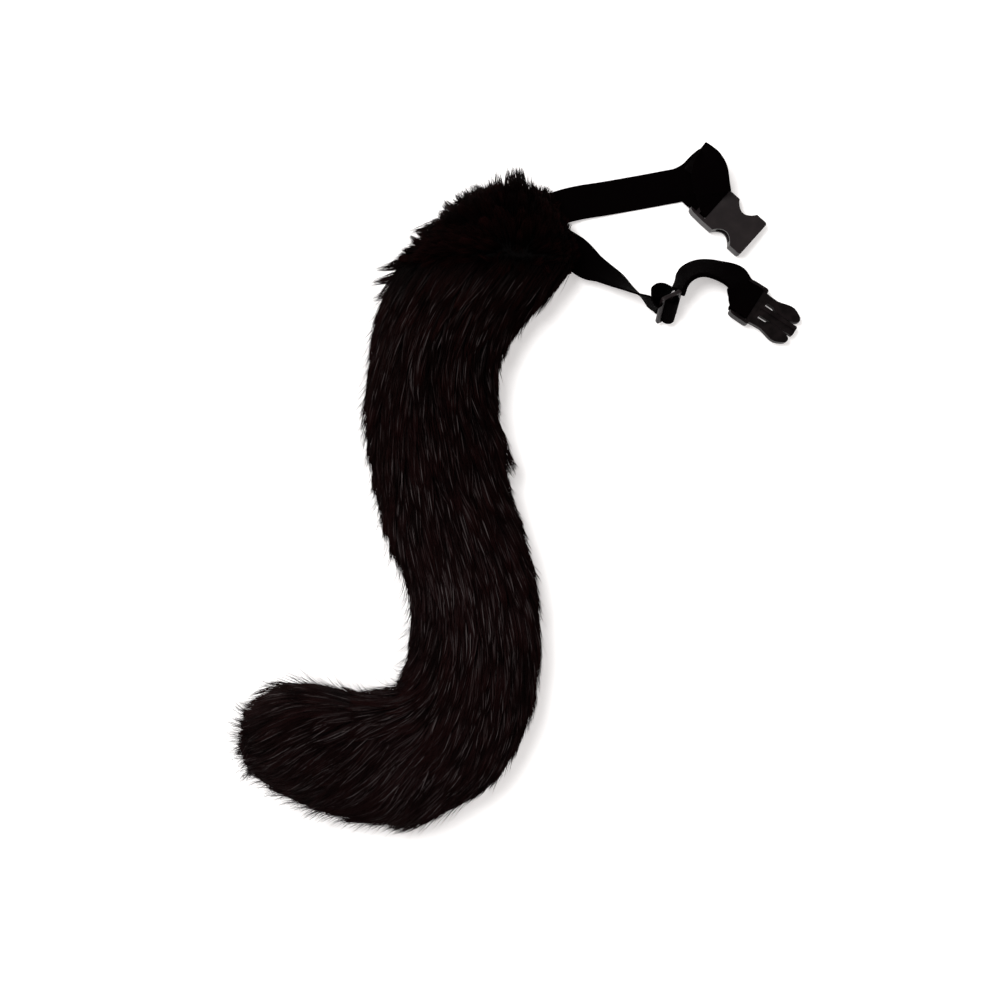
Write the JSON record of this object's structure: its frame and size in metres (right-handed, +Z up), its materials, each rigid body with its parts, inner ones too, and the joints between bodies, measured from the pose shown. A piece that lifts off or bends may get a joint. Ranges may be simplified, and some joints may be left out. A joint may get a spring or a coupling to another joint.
{
  "type": "costume animal tail",
  "caption": "Long stuffed faux fur costume tail with a fur cap at its root, worn on a webbing belt with a slider and a side release buckle.",
  "frame": {"origin": "middle of the box that holds the lying tail and belt, on the surface that they lie on", "axes": "+Z up from the surface, +Y towards the root end with the belt, +X towards the buckle's side"},
  "size_m": [0.4228, 0.4952, 0.0798],
  "materials": {
    "tail_fur": "long pile faux fur, black with a warm brown tint at its thin edges",
    "base_fur": "long pile faux fur, black, with its pile brushed the other way",
    "sleeve_cloth": "thin knitted backing cloth",
    "webbing": "plain woven polyester webbing",
    "buckle_plastic": "fine textured moulded plastic with a low sheen"
  },
  "bodies": {
    "root": {"tail_fur": "tail_fur", "base_fur": "base_fur", "belt_sleeve": "sleeve_cloth", "belt_webbing": "webbing", "slider": "buckle_plastic", "buckle_socket": "buckle_plastic", "buckle_plug": "buckle_plastic"}
  },
  "joints": []
}
